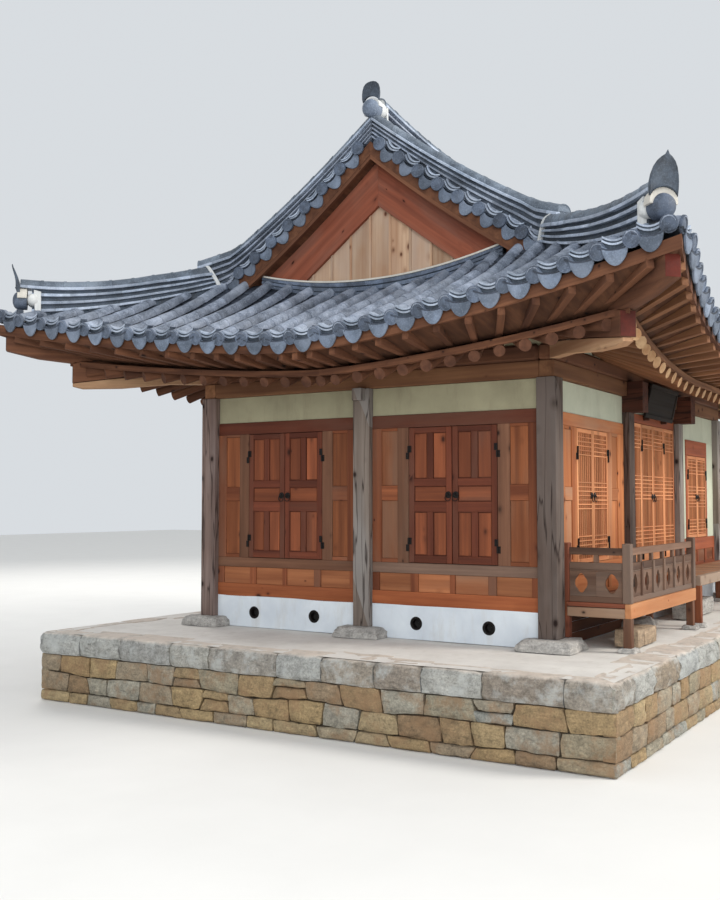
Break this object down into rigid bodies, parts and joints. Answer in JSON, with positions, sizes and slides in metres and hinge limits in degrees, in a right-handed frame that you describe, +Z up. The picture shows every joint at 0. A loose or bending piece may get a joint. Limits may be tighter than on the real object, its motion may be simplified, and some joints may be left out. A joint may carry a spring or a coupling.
{
  "type": "hanok house",
  "caption": "Timber-framed Korean house on a stone platform, with a hip-and-gable tiled roof, hinged shutters and lattice doors, a railed veranda and a porch deck.",
  "frame": {"origin": "on the ground, under the centre of the roof's plan", "axes": "+X along the front, front faces -Y, shuttered gable end faces -X, +Z up"},
  "size_m": [11.4998, 8.8998, 7.78],
  "materials": {
    "rubble": "rough squared rubble, tan to grey",
    "coping": "large rough grey-green flat stones",
    "granite": "dressed rough granite",
    "plaster": "matt white lime plaster",
    "timber": "oiled pine, orange-brown, knotty",
    "weathered_timber": "bare weathered grey pine",
    "dark_timber": "dark red-brown stained pine",
    "shutter_timber": "oiled pine board shutters",
    "lattice_timber": "pine lattice over paper",
    "roof_tile": "matt slate-grey fired clay tile",
    "board": "pale tan vertical boards",
    "black_lacquer": "black lacquered board"
  },
  "bodies": {
    "house": {"platform_wall": "rubble", "platform_coping": "coping", "platform_fill": "granite", "column_front_1": "weathered_timber", "column_front_2": "weathered_timber", "column_front_3": "weathered_timber", "column_front_4": "weathered_timber", "column_back_1": "weathered_timber", "column_back_2": "weathered_timber", "column_back_3": "weathered_timber", "column_back_4": "weathered_timber", "column_left_middle": "weathered_timber", "column_right_middle": "weathered_timber", "tie_beams": "timber", "cross_beam_1": "dark_timber", "cross_beam_2": "dark_timber", "base_wall": "plaster", "floor": "timber", "wall_front": "timber", "wall_left": "timber", "wall_back": "timber", "wall_right": "timber", "roof_front": "roof_tile", "roof_back": "roof_tile", "roof_left": "roof_tile", "roof_right": "roof_tile", "hip_rafter_front_left": "dark_timber", "hip_rafter_front_right": "dark_timber", "hip_rafter_back_left": "dark_timber", "hip_rafter_back_right": "dark_timber", "purlins": "timber", "pediment_left": "board", "pediment_right": "board", "foot_ridge_left": "roof_tile", "foot_ridge_right": "roof_tile", "main_ridge": "roof_tile", "corner_ridge_front_left": "roof_tile", "corner_ridge_front_right": "roof_tile", "corner_ridge_back_left": "roof_tile", "corner_ridge_back_right": "roof_tile", "veranda_deck": "timber", "porch_deck": "timber", "veranda_rail": "weathered_timber", "stepping_stone_veranda": "granite", "stepping_stone_porch": "granite", "signboard": "black_lacquer"},
    "lattice_door_front_1": {"lattice_door_front_1": "lattice_timber"},
    "lattice_door_front_2": {"lattice_door_front_2": "lattice_timber"},
    "lattice_door_front_3": {"lattice_door_front_3": "lattice_timber"},
    "lattice_door_front_4": {"lattice_door_front_4": "lattice_timber"},
    "lattice_door_front_5": {"lattice_door_front_5": "lattice_timber"},
    "lattice_door_front_6": {"lattice_door_front_6": "lattice_timber"},
    "shutter_left_1": {"shutter_left_1": "shutter_timber"},
    "shutter_left_2": {"shutter_left_2": "shutter_timber"},
    "shutter_left_3": {"shutter_left_3": "shutter_timber"},
    "shutter_left_4": {"shutter_left_4": "shutter_timber"}
  },
  "joints": [
    {"name": "lattice_door_front_1_hinge", "type": "hinge", "parent": "house", "child": "lattice_door_front_1", "pos_m": [-2.947, -2.448, 2.35], "axis": [0, 0, -1], "range_deg": [0, 110]},
    {"name": "lattice_door_front_2_hinge", "type": "hinge", "parent": "house", "child": "lattice_door_front_2", "pos_m": [-1.853, -2.448, 2.35], "axis": [0, 0, 1], "range_deg": [0, 110]},
    {"name": "lattice_door_front_3_hinge", "type": "hinge", "parent": "house", "child": "lattice_door_front_3", "pos_m": [-0.43, -2.448, 2.35], "axis": [0, 0, -1], "range_deg": [0, 110]},
    {"name": "lattice_door_front_4_hinge", "type": "hinge", "parent": "house", "child": "lattice_door_front_4", "pos_m": [0.63, -2.448, 2.35], "axis": [0, 0, 1], "range_deg": [0, 110]},
    {"name": "lattice_door_front_5_hinge", "type": "hinge", "parent": "house", "child": "lattice_door_front_5", "pos_m": [1.943, -2.448, 2.35], "axis": [0, 0, -1], "range_deg": [0, 110]},
    {"name": "lattice_door_front_6_hinge", "type": "hinge", "parent": "house", "child": "lattice_door_front_6", "pos_m": [3.057, -2.448, 2.35], "axis": [0, 0, 1], "range_deg": [0, 110]},
    {"name": "shutter_left_1_hinge", "type": "hinge", "parent": "house", "child": "shutter_left_1", "pos_m": [-3.748, 1.777, 2.35], "axis": [0, 0, -1], "range_deg": [0, 110]},
    {"name": "shutter_left_2_hinge", "type": "hinge", "parent": "house", "child": "shutter_left_2", "pos_m": [-3.748, 0.623, 2.35], "axis": [0, 0, 1], "range_deg": [0, 110]},
    {"name": "shutter_left_3_hinge", "type": "hinge", "parent": "house", "child": "shutter_left_3", "pos_m": [-3.748, -0.623, 2.35], "axis": [0, 0, -1], "range_deg": [0, 110]},
    {"name": "shutter_left_4_hinge", "type": "hinge", "parent": "house", "child": "shutter_left_4", "pos_m": [-3.748, -1.777, 2.35], "axis": [0, 0, 1], "range_deg": [0, 110]}
  ]
}
